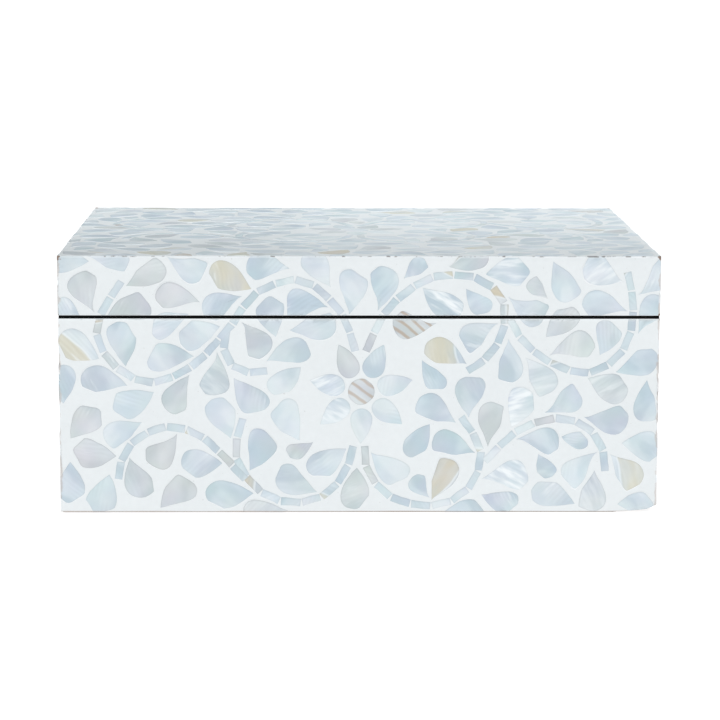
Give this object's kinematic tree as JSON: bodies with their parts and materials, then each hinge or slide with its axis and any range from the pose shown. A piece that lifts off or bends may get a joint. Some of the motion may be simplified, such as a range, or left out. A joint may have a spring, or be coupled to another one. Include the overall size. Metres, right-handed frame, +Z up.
{
  "type": "lidded box",
  "caption": "Rectangular keepsake box with a lift-off lid, faced all over with pale mother-of-pearl leaf tiles set in a white filler, with vines curling from a flower on the front.",
  "frame": {"origin": "centre of the box's underside, on the surface that it stands on", "axes": "+X along the length, to the right as seen from the front; +Y towards the back; +Z up. The face with the flower looks along -Y"},
  "size_m": [0.3, 0.24, 0.13],
  "materials": {
    "painted_board": "satin black paint, brown where it is rubbed",
    "filler": "polished resin filler, cool white",
    "leaf_shell": "polished mother-of-pearl, pale blue-grey with cream and brown patches",
    "flower_shell": "polished mother-of-pearl with tan stripes"
  },
  "bodies": {
    "root": {"base_back_board": "painted_board", "base_filler": "filler", "base_floor_board": "painted_board", "base_front_board": "painted_board", "base_left_board": "painted_board", "base_right_board": "painted_board", "flower_centre": "flower_shell", "flower_petal_1": "flower_shell", "flower_petal_2": "flower_shell", "flower_petal_3": "flower_shell", "flower_petal_4": "flower_shell", "flower_petal_5": "flower_shell", "flower_petal_6": "flower_shell", "flower_petal_7": "flower_shell", "lid_back_board": "painted_board", "lid_filler": "filler", "lid_front_board": "painted_board", "lid_left_board": "painted_board", "lid_right_board": "painted_board", "lid_top_board": "painted_board", "top_flower_centre": "flower_shell", "top_flower_petal_1": "flower_shell", "top_flower_petal_2": "flower_shell", "top_flower_petal_3": "flower_shell", "top_flower_petal_4": "flower_shell", "top_flower_petal_5": "flower_shell", "top_flower_petal_6": "flower_shell", "top_flower_petal_7": "flower_shell", "vine_lower_left_base_1": "leaf_shell", "vine_lower_left_outer_base_1": "leaf_shell", "vine_lower_right_base_1": "leaf_shell", "vine_lower_right_outer_base_1": "leaf_shell", "vine_upper_left_base_1": "leaf_shell", "vine_upper_left_base_2": "leaf_shell", "vine_upper_left_lid_1": "leaf_shell", "vine_upper_left_lid_2": "leaf_shell", "vine_upper_left_sprig_base_1": "leaf_shell", "vine_upper_right_base_1": "leaf_shell", "vine_upper_right_base_2": "leaf_shell", "vine_upper_right_lid_1": "leaf_shell", "vine_upper_right_outer_base_1": "leaf_shell", "vine_upper_right_outer_lid_1": "leaf_shell", "vine_upper_right_outer_lid_2": "leaf_shell"}
  },
  "joints": []
}
